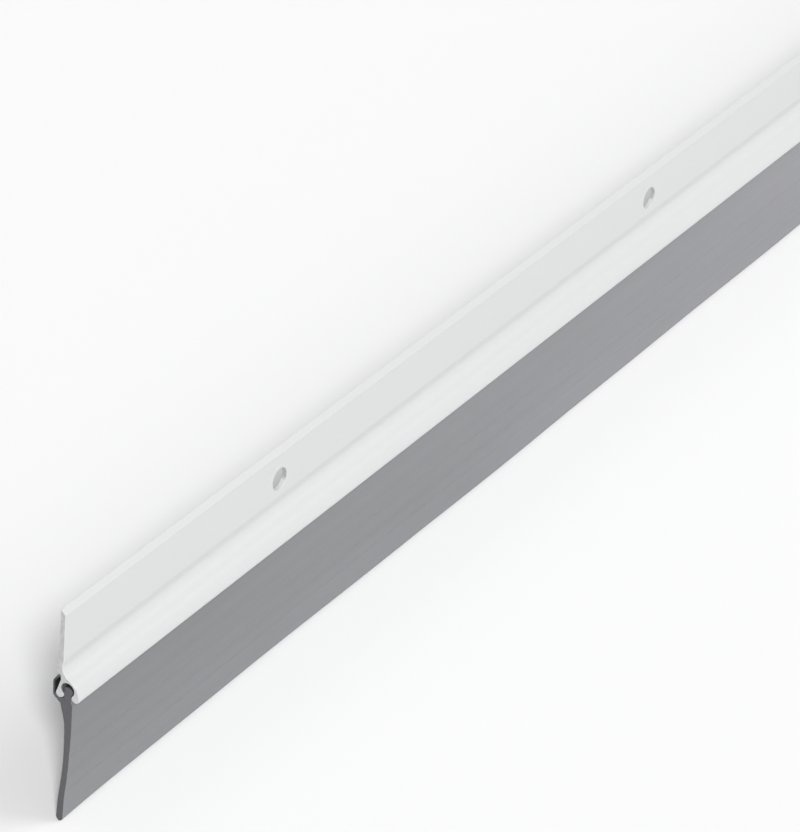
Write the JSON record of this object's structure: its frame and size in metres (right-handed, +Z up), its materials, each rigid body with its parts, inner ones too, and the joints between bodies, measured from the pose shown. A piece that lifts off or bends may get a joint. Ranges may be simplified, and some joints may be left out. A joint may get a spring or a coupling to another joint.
{
  "type": "door sweep",
  "caption": "Door-bottom sweep: white aluminium carrier rail with screw holes, holding a slide-in grey vinyl seal with a bead, a rear wing and a hanging fin.",
  "frame": {"origin": "middle of the screw-hole row, on the flat back of the rail that lies against the door's face", "axes": "+X along the sweep, +Z up, -Y out of the door towards the side that the sweep is screwed to"},
  "size_m": [0.9144, 0.0064, 0.0508],
  "materials": {
    "white_painted_aluminium": "satin",
    "grey_vinyl": "satin"
  },
  "bodies": {
    "carrier": {"carrier_rail": "white_painted_aluminium"},
    "seal": {"seal_bead": "grey_vinyl"},
    "fin": {"seal_fin": "grey_vinyl"}
  },
  "joints": [
    {"name": "seal_slide", "type": "slide", "parent": "carrier", "child": "seal", "axis": [1, 0, 0], "range_m": [-0.889, 0.889]},
    {"name": "fin_flex", "type": "hinge", "parent": "seal", "child": "fin", "pos_m": [0, -0.002, -0.01595], "axis": [1, 0, 0], "range_deg": [-40, 40], "stiffness_Nm_per_rad": 0.6}
  ]
}
